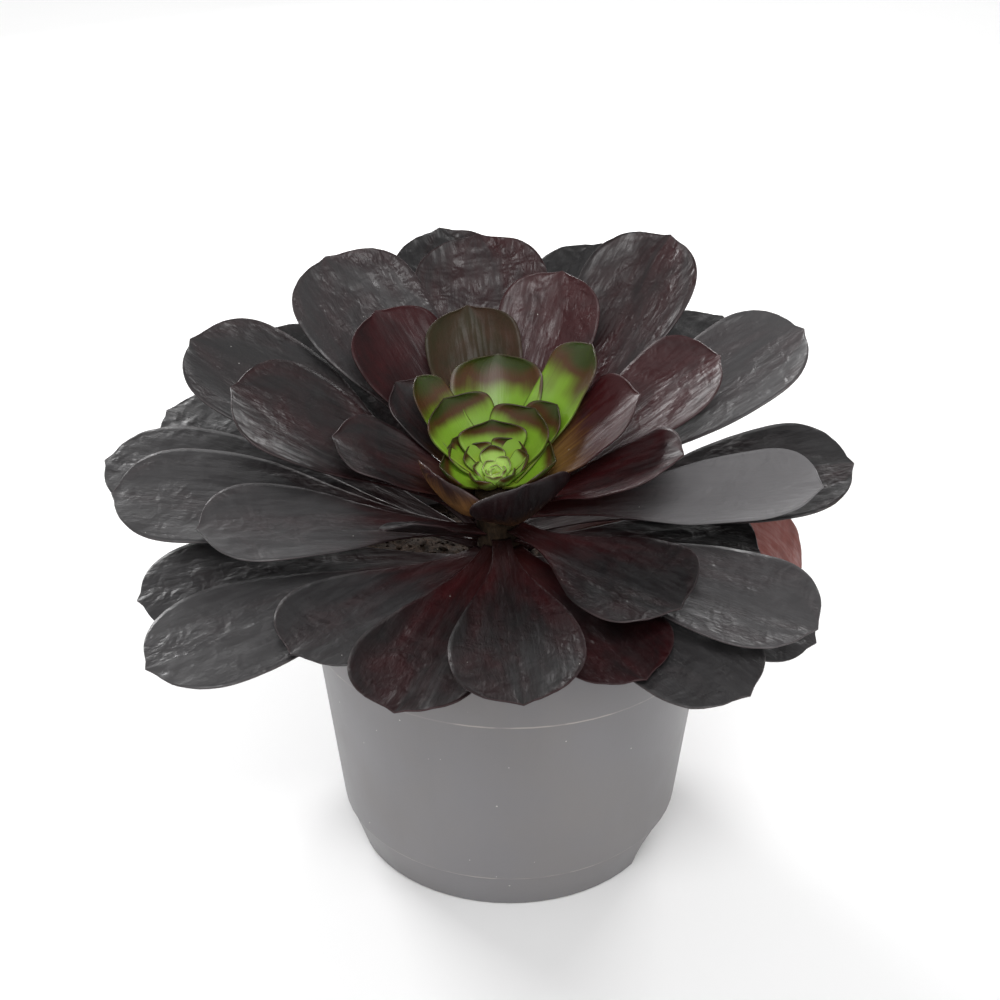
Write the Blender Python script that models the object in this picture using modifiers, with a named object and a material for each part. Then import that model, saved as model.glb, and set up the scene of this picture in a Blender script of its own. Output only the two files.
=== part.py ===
"""Potted semponium: a rosette of dark leaves on a short stem, rooted in a
grey nursery pot of potting mix. Metres, +Z up, the base of the pot at z = 0
and the front of the plant towards -Y."""

import math

import bmesh
import bpy
from mathutils import Matrix, Vector

# Pot
POT_HEIGHT = 0.126
POT_RIM_RADIUS = 0.085
POT_BAND_BOTTOM = 0.0977
POT_BAND_RADIUS = 0.0822
POT_WALL_TOP_RADIUS = 0.0814
POT_WALL_FOOT_RADIUS = 0.0726
POT_FOOT_HEIGHT = 0.0178
POT_FOOT_TOP_RADIUS = 0.0719
POT_FOOT_RADIUS = 0.0668
POT_WALL = 0.0016
POT_FLOOR = 0.0020
POT_SIDES = 64

# Drain notches cut into the foot at the left and the right
NOTCH_INNER_X = 0.054
NOTCH_WIDTH = 0.071
NOTCH_HEIGHT = 0.0170
NOTCH_ROUNDING = 0.009
NOTCH_TURN = math.radians(-7.0)
DRAIN_RADIUS = 0.0026
DRAIN_SPREAD = 0.022
DRAIN_X = 0.0625

# Potting mix
SOIL_TOP = 0.114
SOIL_CROWN = 0.003

# Stem: plumb in the soil, then bent towards the front, with the leafy part
# straight along the rosette's axis
STEM_FOOT = Vector((-0.0025, 0.0070, 0.086))
STEM_PLUMB = 0.021
STEM_BEND = 0.018
STEM_LEAFY = 0.0405
STEM_TILT = math.radians(18.0)
STEM_TILT_TURN = -12.0
STEM_FOOT_RADIUS = 0.0115
STEM_TOP_RADIUS = 0.0085
STEM_SIDES = 32
STEM_RINGS = 4

# Leaves: they climb the leafy stem on a spiral, one golden angle apart
GOLDEN_ANGLE = 137.508
FIRST_TURN = 70.5
ROOT_STEP = 0.00081
ROOT_WIDTH = 0.0078
LEAF_THICKNESS = 0.0023
LEAF_EDGE_SHARE = 0.4
LEAF_WIDEST = 0.76
LEAF_WAIST = 1.5
YOUNG_WAIST = 0.7
YOUNG_STEP = 43
LEAF_END = 2.8
LEAF_POINT = 0.0024
LEAF_ROWS = 10
LEAF_COLUMNS = 4
TIP_CROWDING = 1.6
LEAF_DROOP = -20.0
LEAF_CURL = 0.6
LEAF_CUP = -0.02
LEAF_CUP_GAIN = 0.006

# Green heart of the rosette: the leaves inside its outer ring carry the
# spiral on, shorter by the same share at each step
HEART_RADIUS = 0.0082
HEART_HEIGHT = 0.0042
HEART_BEND = 30.0
HEART_CUP = 0.45
HEART_INNER_COUNT = 13
HEART_INNER_TURN = 100.0
HEART_INNER_LONGEST = 0.014
HEART_INNER_DECLINE = 0.90

GAP = 0.0003
MERGE = 0.00002

# Each row is one dark leaf, from the lowest up: its step on the spiral, the
# degrees its place is off that step, the rise at its root from the rosette's
# plane, any bend of its own, its length and width in millimetres, its roll.
LEAVES = (
    (0, -8, 26, -24, 137, 44, 0),
    (1, -6, 23, -2, 149, 50, 0),
    (3, 22, 23.5, -2, 140, 48, 0),
    (4, 3, 18, 0, 164, 50, 0),
    (5, -2, 27, -84, 163, 34, 30),
    (6, -22, 21.5, 0, 157, 50, 0),
    (7, 0, 14, 0, 142, 48, 0),
    (9, -14, 18, 0, 169, 52, 0),
    (10, 3, 15, 0, 156, 50, 0),
    (12, 8, 23, 0, 147, 52, 0),
    (13, -7, 12, 0, 105, 44, 0),
    (14, 12, 21.5, 0, 114, 48, 0),
    (15, -8, 24, 0, 152, 54, 0),
    (16, -2, 16, 2, 111, 44, 0),
    (17, 17, 19, -2, 156, 54, 0),
    (18, -22, 13, 0, 144, 54, 0),
    (19, 5, 19.5, 0, 124, 50, 0),
    (20, -11, 28, 0, 147, 52, 0),
    (21, -8.5, 15.5, -4, 142, 47, 0),
    (22, -1, 23, -2, 122, 44, 0),
    (24, -6, 23, -4, 130, 48, 0),
    (25, 12, 25, 4, 147, 54, 0),
    (26, 15, 24, 2, 144, 52, 0),
    (27, -10, 36, 0, 60, 24, 40),
    (28, 2, 29, 0, 131, 58, 0),
    (29, -1, 15, 0, 101, 48, 0),
    (30, -6, 32, 2, 118, 52, 0),
    (31, 14, 29, 0, 139, 51, 0),
    (33, 2, 28, 0, 134, 57, 0),
    (34, -1, 17, 0, 131, 40, 0),
    (36, -1, 34, 0, 103, 43, 0),
    (37, 0, 34, 46, 54, 41, 0),
    (39, 0, 26, 0, 105, 46, 0),
    (40, -16, 36, 42, 47, 36, 0),
    (41, 23, 32, 0, 93, 42, 0),
    (42, 12, 31, 0, 89, 34, 0),
    (43, -11, 29, 0, 70, 33, 0),
    (46, 2.5, 29.5, 3, 60, 24, 0),
    (47, 6, 37, 0, 72, 38, 0),
    (49, 15, 28, 6, 78, 39, 0),
)

# Each row is one of the larger green leaves: its turn, the rise at its root,
# its length and width in millimetres.
HEART_OUTER = (
    (129, 25, 62, 24),
    (176, 20, 49, 37),
    (-134, 28, 48, 17),
    (-83, 21, 20, 24),
    (75, 21, 25, 24),
    (-141, 29, 35, 31),
    (138, 29, 29, 29),
    (126, 23, 35, 20),
    (-179, 33, 21, 27),
    (-127, 23, 20, 19),
    (143, 27, 15, 17),
    (-140, 27, 14, 14),
)


def clear_scene():
    for old in list(bpy.data.objects):
        bpy.data.objects.remove(old, do_unlink=True)


def new_collection(name):
    collection = bpy.data.collections.new(name)
    bpy.context.scene.collection.children.link(collection)
    return collection


def new_material(name, colour, roughness):
    material = bpy.data.materials.new(name)
    material.use_nodes = True
    shader = material.node_tree.nodes["Principled BSDF"]
    shader.inputs["Base Color"].default_value = (*colour, 1.0)
    shader.inputs["Roughness"].default_value = roughness
    shader.inputs["Metallic"].default_value = 0.0
    material.diffuse_color = (*colour, 1.0)
    return material


def new_object(name, bm, collection, material=None):
    mesh = bpy.data.meshes.new(name)
    bm.to_mesh(mesh)
    bm.free()
    obj = bpy.data.objects.new(name, mesh)
    collection.objects.link(obj)
    if material:
        mesh.materials.append(material)
    return obj


def new_cutter(name, bm, collection):
    cutter = new_object(name, bm, collection)
    cutter.hide_render = True
    cutter.display_type = "WIRE"
    return cutter


def turned(name, profile, collection, material=None, sides=POT_SIDES):
    """A solid of revolution from (radius, height) pairs."""
    mesh = bpy.data.meshes.new(name)
    points = [(radius, 0.0, height) for radius, height in profile]
    edges = [(i, i + 1) for i in range(len(points) - 1)]
    mesh.from_pydata(points, edges, [])
    obj = bpy.data.objects.new(name, mesh)
    collection.objects.link(obj)
    screw = obj.modifiers.new("Turn", "SCREW")
    screw.steps = sides
    screw.render_steps = sides
    screw.use_merge_vertices = True
    screw.merge_threshold = MERGE
    screw.use_smooth_shade = True
    if material:
        mesh.materials.append(material)
    return obj


def subtract(target, cutter, name):
    boolean = target.modifiers.new(name, "BOOLEAN")
    boolean.operation = "DIFFERENCE"
    boolean.object = cutter


def notch_box(grow):
    """The block that leaves one drain notch, grown by the given distance."""
    outer_x = POT_RIM_RADIUS + 0.01
    inner_x = NOTCH_INNER_X - grow
    top = NOTCH_HEIGHT + grow
    bottom = -0.005 - grow
    bm = bmesh.new()
    bmesh.ops.create_cube(bm, size=1.0)
    for vert in bm.verts:
        vert.co.x = outer_x if vert.co.x > 0 else inner_x
        vert.co.y *= NOTCH_WIDTH + 2 * grow
        vert.co.z = top if vert.co.z > 0 else bottom
    upper = [e for e in bm.edges if all(v.co.z > 0 for v in e.verts)
             and abs(e.verts[0].co.y - e.verts[1].co.y) < MERGE]
    bmesh.ops.bevel(bm, geom=upper, offset=NOTCH_ROUNDING, segments=5,
                    affect="EDGES", profile=0.5)
    return bm


def cut_notches(target, grow, cutters, name):
    """Cuts both notches, the left one being the right one turned about."""
    for side, turn in (("right", NOTCH_TURN), ("left", NOTCH_TURN + math.pi)):
        cutter = new_cutter(f"{name}_{side}", notch_box(grow), cutters)
        cutter.rotation_euler.z = turn
        subtract(target, cutter, f"Notch {side}")


def inner_radius(height):
    """Radius of the pot's inside at a height."""
    if height > POT_BAND_BOTTOM:
        rise = (height - POT_BAND_BOTTOM) / (POT_HEIGHT - POT_BAND_BOTTOM)
        outer = POT_BAND_RADIUS + rise * (POT_RIM_RADIUS - POT_BAND_RADIUS)
    else:
        rise = max(height - POT_FOOT_HEIGHT, 0.0) / (POT_BAND_BOTTOM - POT_FOOT_HEIGHT)
        outer = POT_WALL_FOOT_RADIUS + rise * (POT_WALL_TOP_RADIUS - POT_WALL_FOOT_RADIUS)
        if height < POT_FOOT_HEIGHT:
            rise = height / POT_FOOT_HEIGHT
            outer = POT_FOOT_RADIUS + rise * (POT_FOOT_TOP_RADIUS - POT_FOOT_RADIUS)
    return outer - POT_WALL


def build_pot(collection, cutters):
    """Thin moulded shell: rim band, tapering wall, foot with two notches."""
    material = new_material("pot_plastic", (0.24, 0.23, 0.23), 0.45)
    outside = [
        (0.0, POT_HEIGHT),
        (POT_RIM_RADIUS - 0.0008, POT_HEIGHT),
        (POT_RIM_RADIUS, POT_HEIGHT - 0.0008),
        (POT_BAND_RADIUS, POT_BAND_BOTTOM),
        (POT_WALL_TOP_RADIUS, POT_BAND_BOTTOM - 0.0004),
        (POT_WALL_FOOT_RADIUS, POT_FOOT_HEIGHT + 0.0004),
        (POT_FOOT_TOP_RADIUS, POT_FOOT_HEIGHT),
        (POT_FOOT_RADIUS, 0.0010),
        (POT_FOOT_RADIUS - 0.0010, 0.0),
        (0.0, 0.0),
    ]
    pot = turned("pot", outside, collection, material)
    cut_notches(pot, 0.0, cutters, "notch")

    lip = POT_HEIGHT + 0.004
    inside = [
        (0.0, lip),
        (inner_radius(POT_HEIGHT), lip),
        (inner_radius(POT_HEIGHT), POT_HEIGHT),
        (inner_radius(POT_BAND_BOTTOM), POT_BAND_BOTTOM - 0.002),
        (inner_radius(POT_FOOT_HEIGHT), POT_FOOT_HEIGHT),
        (inner_radius(POT_FLOOR), POT_FLOOR),
        (0.0, POT_FLOOR),
    ]
    cavity = turned("pot_cavity", inside, cutters)
    cavity.hide_render = True
    cavity.display_type = "WIRE"
    cut_notches(cavity, POT_WALL, cutters, "cavity_notch")
    subtract(pot, cavity, "Hollow")

    for side in (-1, 1):
        for spread in (-DRAIN_SPREAD, 0.0, DRAIN_SPREAD):
            bm = bmesh.new()
            bmesh.ops.create_cone(bm, cap_ends=True, segments=16, depth=0.012,
                                  radius1=DRAIN_RADIUS, radius2=DRAIN_RADIUS)
            drain = new_cutter(f"drain_{side}_{spread:.3f}", bm, cutters)
            drain.location = Matrix.Rotation(NOTCH_TURN, 4, "Z") @ Vector(
                (side * DRAIN_X, spread, NOTCH_HEIGHT))
            subtract(pot, drain, "Drain hole")
    return pot


def stem_place(along):
    """Centre and direction of the stem at a distance from its foot."""
    lean = Vector((math.sin(math.radians(STEM_TILT_TURN)),
                   -math.cos(math.radians(STEM_TILT_TURN)), 0.0))
    upward = Vector((0.0, 0.0, 1.0))
    centre = STEM_FOOT + upward * min(along, STEM_PLUMB)
    bent = min(max(along - STEM_PLUMB, 0.0) / STEM_BEND, 1.0) * STEM_TILT
    bend_radius = STEM_BEND / STEM_TILT
    centre += lean * bend_radius * (1 - math.cos(bent)) + upward * bend_radius * math.sin(bent)
    direction = lean * math.sin(bent) + upward * math.cos(bent)
    straight = max(along - STEM_PLUMB - STEM_BEND, 0.0)
    return centre + direction * straight, direction


def stem_radius(along):
    share = along / (STEM_PLUMB + STEM_BEND + STEM_LEAFY)
    return STEM_FOOT_RADIUS + share * (STEM_TOP_RADIUS - STEM_FOOT_RADIUS)


def rosette_matrix(height):
    """Frame of the rosette at a height up the leafy stem, Z on its axis."""
    centre, direction = stem_place(STEM_PLUMB + STEM_BEND + height)
    turn = Vector((0.0, 0.0, 1.0)).rotation_difference(direction)
    return Matrix.Translation(centre) @ turn.to_matrix().to_4x4()


def build_soil(collection, cutters):
    """Potting mix that fills the pot, with a plain hole for the stem."""
    material = new_material("potting_mix", (0.045, 0.028, 0.018), 0.95)
    profile = [
        (0.0, SOIL_TOP + SOIL_CROWN),
        (0.030, SOIL_TOP + 0.75 * SOIL_CROWN),
        (0.060, SOIL_TOP),
        (inner_radius(SOIL_TOP) - 3 * GAP, SOIL_TOP - 0.002),
        (inner_radius(POT_BAND_BOTTOM) - 3 * GAP, POT_BAND_BOTTOM - 0.003),
        (inner_radius(POT_FOOT_HEIGHT) - 2 * GAP, POT_FOOT_HEIGHT),
        (inner_radius(POT_FLOOR) - 2 * GAP, POT_FLOOR + GAP),
        (0.0, POT_FLOOR + GAP),
    ]
    soil = turned("soil", profile, collection, material)
    cut_notches(soil, POT_WALL + GAP, cutters, "soil_notch")
    bm = bmesh.new()
    hole_depth = 0.05
    bmesh.ops.create_cone(bm, cap_ends=True, segments=STEM_SIDES, depth=hole_depth,
                          radius1=STEM_FOOT_RADIUS + GAP, radius2=STEM_FOOT_RADIUS + GAP)
    hole = new_cutter("stem_hole", bm, cutters)
    hole.location = STEM_FOOT + Vector((0.0, 0.0, hole_depth / 2 - GAP))
    subtract(soil, hole, "Stem hole")
    return soil


def build_stem(collection):
    """Stout stem: a cone whose rings are carried along the bent centreline."""
    material = new_material("stem_bark", (0.10, 0.065, 0.035), 0.8)
    length = STEM_PLUMB + STEM_BEND + STEM_LEAFY
    bm = bmesh.new()
    bmesh.ops.create_cone(bm, cap_ends=True, segments=STEM_SIDES, depth=length,
                          radius1=STEM_FOOT_RADIUS, radius2=STEM_TOP_RADIUS)
    bmesh.ops.translate(bm, verts=bm.verts, vec=(0.0, 0.0, length / 2))
    for ring in range(STEM_RINGS):
        level = STEM_PLUMB + STEM_BEND * ring / (STEM_RINGS - 1)
        bmesh.ops.bisect_plane(bm, geom=bm.verts[:] + bm.edges[:] + bm.faces[:],
                               plane_co=(0, 0, level), plane_no=(0, 0, 1), dist=MERGE)
    for vert in bm.verts:
        centre, direction = stem_place(vert.co.z)
        turn = Vector((0.0, 0.0, 1.0)).rotation_difference(direction)
        vert.co = centre + turn @ Vector((vert.co.x, vert.co.y, 0.0))
    obj = new_object("stem", bm, collection, material)
    obj.data.shade_smooth()
    return obj


def half_width(along, width, root_width, waist):
    """Spatulate outline: slender at the root, broad and round at the end."""
    if along < LEAF_WIDEST:
        spread = along / LEAF_WIDEST
        spread = (spread * spread * (3 - 2 * spread)) ** waist
        return (root_width + (width - root_width) * spread) / 2
    past = (along - LEAF_WIDEST) / (1 - LEAF_WIDEST)
    return width / 2 * math.sqrt(max(1 - past ** LEAF_END, 0.0))


def leaf_point(leaf, along, across):
    """A point of the leaf's upper face; along 0..1, across -1..1."""
    turn = math.radians(leaf["turn"])
    rise = math.radians(leaf["rise"])
    bend = math.radians(leaf["bend"]) or 1e-6
    pitch = rise + bend * along
    reach = leaf["length"] * (math.sin(pitch) - math.sin(rise)) / bend
    lift = leaf["length"] * (math.cos(rise) - math.cos(pitch)) / bend
    outward = Vector((math.sin(turn), -math.cos(turn), 0.0))
    sideways = Vector((math.cos(turn), math.sin(turn), 0.0))
    upward = Vector((0.0, 0.0, 1.0))
    tangent = outward * math.cos(pitch) + upward * math.sin(pitch)
    normal = upward * math.cos(pitch) - outward * math.sin(pitch)
    roll = math.radians(leaf["roll"]) * along
    side = sideways * math.cos(roll) + normal * math.sin(roll)
    face = normal * math.cos(roll) - sideways * math.sin(roll)
    half = half_width(along, leaf["width"], leaf["root_width"], leaf["waist"])
    point = outward * (leaf["start"] + reach) + upward * lift
    point += side * half * across + face * leaf["cup"] * half * across * across
    if along > 1 - MERGE:
        point += tangent * leaf["point"]
    return leaf["frame"] @ point


def leaf_object(name, leaf, collection, material):
    """A grid bent to the leaf's face, then thickened downwards."""
    bm = bmesh.new()
    bmesh.ops.create_grid(bm, x_segments=leaf["rows"], y_segments=leaf["columns"], size=1.0)
    fatness = bm.verts.layers.deform.verify()
    for vert in bm.verts:
        along = 1 - (0.5 - 0.5 * vert.co.x) ** TIP_CROWDING
        across = vert.co.y
        thin = max(across * across, along ** 3)
        vert[fatness][0] = 1 - (1 - LEAF_EDGE_SHARE) * thin
        vert.co = leaf_point(leaf, along, across)
    bmesh.ops.remove_doubles(bm, verts=bm.verts, dist=MERGE)
    bmesh.ops.triangulate(bm, faces=bm.faces)
    obj = new_object(name, bm, collection, material)
    obj.vertex_groups.new(name="thickness")
    solidify = obj.modifiers.new("Thickness", "SOLIDIFY")
    solidify.thickness = leaf["thickness"]
    solidify.offset = -1.0
    solidify.vertex_group = "thickness"
    obj.data.shade_smooth()
    return obj


def build_leaves(collection):
    """The dark leaves, each rooted just clear of the stem. The lowest are
    flat and droop; towards the heart they are cupped and curl in."""
    material = new_material("dark_leaf", (0.035, 0.012, 0.014), 0.35)
    for step, nudge, rise, own_bend, length, width, roll in LEAVES:
        height = ROOT_STEP * step
        start = stem_radius(STEM_PLUMB + STEM_BEND + height) + GAP
        leaf = {
            "frame": rosette_matrix(height), "start": start,
            "turn": FIRST_TURN - GOLDEN_ANGLE * step + nudge,
            "rise": rise, "bend": LEAF_DROOP + LEAF_CURL * step + own_bend, "roll": roll,
            "cup": LEAF_CUP + LEAF_CUP_GAIN * step,
            "length": length / 1000 - start, "width": width / 1000,
            "waist": YOUNG_WAIST if step >= YOUNG_STEP else LEAF_WAIST,
            "root_width": ROOT_WIDTH, "thickness": LEAF_THICKNESS,
            "point": LEAF_POINT, "rows": LEAF_ROWS, "columns": LEAF_COLUMNS,
        }
        leaf_object(f"leaf_{step:02d}", leaf, collection, material)


def heart_leaf(name, frame, turn, rise, length, width, inward, pieces, material):
    leaf = {
        "frame": frame @ Matrix.Translation((0, 0, 0.0018 + 0.0012 * inward)),
        "start": 0.005 * (1 - inward), "turn": turn,
        "rise": rise, "bend": HEART_BEND, "roll": 0, "cup": HEART_CUP,
        "length": length, "width": width, "root_width": 0.24 * length + 0.003,
        "waist": YOUNG_WAIST,
        "thickness": 0.0020 - 0.0008 * inward, "point": 0.0010,
        "rows": 6, "columns": 4,
    }
    leaf_object(name, leaf, pieces, material)


def build_heart(collection, pieces):
    """The green leaves of the growing tip, sunk in one short core. Their tips
    lie on a bowl that is lowest at the bud."""
    material = new_material("heart_leaf", (0.10, 0.25, 0.02), 0.4)
    frame = rosette_matrix(STEM_LEAFY + GAP)
    bm = bmesh.new()
    bmesh.ops.create_cone(bm, cap_ends=True, segments=24, depth=HEART_HEIGHT,
                          radius1=HEART_RADIUS, radius2=HEART_RADIUS * 0.5)
    bmesh.ops.translate(bm, verts=bm.verts, vec=(0.0, 0.0, HEART_HEIGHT / 2))
    bmesh.ops.transform(bm, verts=bm.verts, matrix=frame)
    heart = new_object("heart_rosette", bm, collection, material)
    for number, (turn, rise, length, width) in enumerate(HEART_OUTER):
        heart_leaf(f"heart_outer_{number:02d}", frame, turn, rise, length / 1000,
                   width / 1000, 0.3 * number / len(HEART_OUTER), pieces, material)
    for number in range(HEART_INNER_COUNT):
        inward = number / (HEART_INNER_COUNT - 1)
        length = HEART_INNER_LONGEST * HEART_INNER_DECLINE ** number
        heart_leaf(f"heart_inner_{number:02d}", frame,
                   HEART_INNER_TURN - GOLDEN_ANGLE * number, 30 + 24 * inward, length,
                   0.7 * length + 0.002, 0.3 + 0.7 * inward, pieces, material)
    union = heart.modifiers.new("Fuse", "BOOLEAN")
    union.operation = "UNION"
    union.solver = "MANIFOLD"
    union.operand_type = "COLLECTION"
    union.collection = pieces
    depsgraph = bpy.context.evaluated_depsgraph_get()
    fused = bpy.data.meshes.new_from_object(heart.evaluated_get(depsgraph))
    heart.modifiers.clear()
    heart.data = fused
    for piece in list(pieces.objects):
        bpy.data.objects.remove(piece, do_unlink=True)
    bpy.data.collections.remove(pieces)
    return heart


def build():
    clear_scene()
    plant = new_collection("potted_semponium")
    cutters = new_collection("cutters")
    build_pot(plant, cutters)
    build_soil(plant, cutters)
    build_stem(plant)
    build_leaves(plant)
    build_heart(plant, new_collection("heart_pieces"))


build()
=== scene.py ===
"""Potted semponium: the finished look of the plant and its pot, built round the
solid model. Metres, +Z up, the base of the pot at z = 0, the front at -Y."""
import math
import random

import bmesh
import bpy
from mathutils import Matrix, Vector, noise


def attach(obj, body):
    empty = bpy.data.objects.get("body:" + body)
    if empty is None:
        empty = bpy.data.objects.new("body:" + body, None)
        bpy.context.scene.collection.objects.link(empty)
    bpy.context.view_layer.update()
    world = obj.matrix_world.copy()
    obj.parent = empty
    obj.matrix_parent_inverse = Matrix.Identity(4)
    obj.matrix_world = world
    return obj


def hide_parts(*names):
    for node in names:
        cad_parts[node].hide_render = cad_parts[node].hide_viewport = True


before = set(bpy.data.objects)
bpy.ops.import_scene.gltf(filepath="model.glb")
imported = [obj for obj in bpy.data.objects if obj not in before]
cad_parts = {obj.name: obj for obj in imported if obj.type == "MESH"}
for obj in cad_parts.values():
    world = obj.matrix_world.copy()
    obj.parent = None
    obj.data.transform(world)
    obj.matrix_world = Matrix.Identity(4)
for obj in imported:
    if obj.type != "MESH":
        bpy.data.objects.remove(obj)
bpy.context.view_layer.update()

# The pot
# A thin nursery pot, injection moulded in one shot of grey plastic. The step
# under the rim and the one above the foot come from the mould, and the two
# arches in the foot let water out of the holes above them.

BAND_HEIGHT = 0.0977
FOOT_HEIGHT = 0.0178
# Reach and core of the painted highlight along the two steps.
STEP_HIGHLIGHT_REACH = 0.0008
STEP_HIGHLIGHT_CORE = 0.0003
WELD = 0.00001
FLAT_ANGLE = math.radians(0.5)
CORNER_ANGLE = math.radians(38)
SHORTEST_CORNER = 0.0012
CORNER_ROUNDING = 0.0003
SHARP_ANGLE = math.radians(50)
POT_GREY = (0.196, 0.189, 0.197)
POT_WARM = (0.232, 0.212, 0.194)
POT_GRIT = (0.06, 0.05, 0.045)
DUST = (0.62, 0.60, 0.56)


def add_node(tree, kind, inputs=None, **settings):
    """Adds a shader node; an input is either a value or another's output."""
    made = tree.nodes.new(kind)
    for key, value in settings.items():
        setattr(made, key, value)
    for key, value in (inputs or {}).items():
        if isinstance(value, bpy.types.NodeSocket):
            tree.links.new(value, made.inputs[key])
        else:
            made.inputs[key].default_value = value
    return made


def new_material(name, specular=0.5):
    """Makes a material and hands back its node tree and its shader too."""
    material = bpy.data.materials.new(name)
    material.use_nodes = True
    tree = material.node_tree
    shader = tree.nodes["Principled BSDF"]
    shader.inputs["Specular IOR Level"].default_value = specular
    return material, tree, shader


def mix_colour(tree, share, first, second):
    """Mixes two colours; each is an RGB triple or another node's output."""
    made = tree.nodes.new("ShaderNodeMix")
    made.data_type = "RGBA"
    for number, value in ((0, share), (6, first), (7, second)):
        if isinstance(value, bpy.types.NodeSocket):
            tree.links.new(value, made.inputs[number])
        else:
            made.inputs[number].default_value = (*value, 1.0) if number else value
    return made.outputs[2]


def step_between(tree, value, low, high, start=0.0, end=1.0):
    """A smooth rise from start to end while value goes from low to high."""
    return add_node(tree, "ShaderNodeMapRange", {
        "Value": value, "From Min": low, "From Max": high, "To Min": start, "To Max": end,
    }, interpolation_type="SMOOTHSTEP", clamp=True).outputs[0]


def maths(tree, operation, first, second=0.0):
    """One sum; each term is a number or another node's output."""
    return add_node(tree, "ShaderNodeMath", {0: first, 1: second}, operation=operation).outputs[0]


def grain(tree, place, scale, detail=3.0, roughness=0.55, distortion=0.0):
    """Noise round 0.5, as many lumps to a unit of place as scale says."""
    return add_node(tree, "ShaderNodeTexNoise", {
        "Vector": place, "Scale": scale, "Detail": detail, "Roughness": roughness,
        "Distortion": distortion}).outputs["Fac"]


def stretched(tree, place, scale):
    """A place scaled apart along each axis, for grain that runs one way."""
    return add_node(tree, "ShaderNodeMapping", {"Vector": place, "Scale": scale}).outputs[0]


def relief(tree, height, distance, strength=1.0, under=None):
    """Bump from a height in 0..1; under is the normal of a coarser bump."""
    inputs = {"Height": height, "Distance": distance, "Strength": strength}
    if under:
        inputs["Normal"] = under
    return add_node(tree, "ShaderNodeBump", inputs).outputs[0]


def specks(tree, place, scale, size, rarity, cover):
    """Small round spots: cover inside a spot, 0 outside."""
    cells = add_node(tree, "ShaderNodeTexVoronoi", {"Vector": place, "Scale": scale})
    near = step_between(tree, cells.outputs["Distance"], size, size * 0.6)
    chance = add_node(tree, "ShaderNodeSeparateColor", {0: cells.outputs["Color"]}).outputs[0]
    spots = maths(tree, "MULTIPLY", near, maths(tree, "GREATER_THAN", chance, rarity))
    return maths(tree, "MULTIPLY", spots, cover)


def finish_piece(name, mesh_source, materials, node=None):
    """Makes the piece's object at the origin, hangs it on the root body and hides any CAD part it
    replaces.
    """
    if isinstance(mesh_source, bmesh.types.BMesh):
        mesh = bpy.data.meshes.new(name)
        mesh_source.to_mesh(mesh)
        mesh_source.free()
    else:
        mesh = mesh_source
        mesh.name = name
    mesh.materials.clear()
    for material in materials:
        mesh.materials.append(material)
    piece = bpy.data.objects.new(name, mesh)
    bpy.context.scene.collection.objects.link(piece)
    mesh.shade_smooth()
    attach(piece, "root")
    if node:
        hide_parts(node)
    return piece


def pot_plastic():
    """Satin grey plastic with a painted highlight along both steps, and dust and grit on it."""
    material, tree, shader = new_material("satin_grey_plastic")
    place = add_node(tree, "ShaderNodeTexCoord").outputs["Object"]
    height = add_node(tree, "ShaderNodeSeparateXYZ", {0: place}).outputs["Z"]
    cloud = grain(tree, place, 18.0, 4.0)
    flow = grain(tree, stretched(tree, place, (60.0, 60.0, 9.0)), 1.0, 3.0)
    colour = mix_colour(tree, step_between(tree, cloud, 0.35, 0.75, 0.0, 0.35), POT_GREY, POT_WARM)
    colour = mix_colour(tree, step_between(tree, flow, 0.45, 0.8, 0.0, 0.25), colour,
                        tuple(0.88 * c for c in POT_GREY))
    # Painted highlight: a pale, patchy line along the step under the rim and the one above the foot,
    # where their edges catch the light.
    for level in (BAND_HEIGHT, FOOT_HEIGHT):
        off = maths(tree, "ABSOLUTE", maths(tree, "SUBTRACT", height, level))
        step_highlight = maths(tree, "MULTIPLY", step_between(tree, off, STEP_HIGHLIGHT_REACH, STEP_HIGHLIGHT_CORE),
                     step_between(tree, grain(tree, place, 60.0), 0.40, 0.62, 0.15, 0.75))
        colour = mix_colour(tree, step_highlight, colour, tuple(2.0 * c for c in POT_WARM))
    colour = mix_colour(tree, specks(tree, place, 190.0, 0.085, 0.82, 0.8), colour, DUST)
    squat = stretched(tree, place, (1.0, 1.0, 1.3))
    colour = mix_colour(tree, specks(tree, squat, 130.0, 0.050, 0.90, 0.6), colour, POT_GRIT)
    tree.links.new(colour, shader.inputs["Base Color"])
    tree.links.new(step_between(tree, cloud, 0.3, 0.7, 0.40, 0.52), shader.inputs["Roughness"])
    fine = relief(tree, grain(tree, place, 900.0, 2.0), 0.0001, 0.35)
    normal = relief(tree, grain(tree, place, 35.0, 2.0), 0.0006, 0.25, fine)
    tree.links.new(normal, shader.inputs["Normal"])
    return material


shell = bmesh.new()
shell.from_mesh(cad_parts["pot"].data)
bmesh.ops.remove_doubles(shell, verts=shell.verts, dist=WELD)
bmesh.ops.dissolve_limit(shell, angle_limit=FLAT_ANGLE, verts=shell.verts, edges=shell.edges)
corners = [e for e in shell.edges if e.is_manifold and e.calc_face_angle() > CORNER_ANGLE
           and e.calc_length() > SHORTEST_CORNER]
bmesh.ops.bevel(shell, geom=corners, offset=CORNER_ROUNDING, segments=2, profile=0.5,
                affect="EDGES", material=-1, clamp_overlap=True)
pot = finish_piece("nursery_pot", shell, [pot_plastic()], "pot")
pot.data.set_sharp_from_angle(angle=SHARP_ANGLE)

# The potting mix
# Bark, peat and coir that fill the pot to a finger below the rim. The top is
# crumbly and uneven, with loose bits of bark and a few strands of dry straw.

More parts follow.
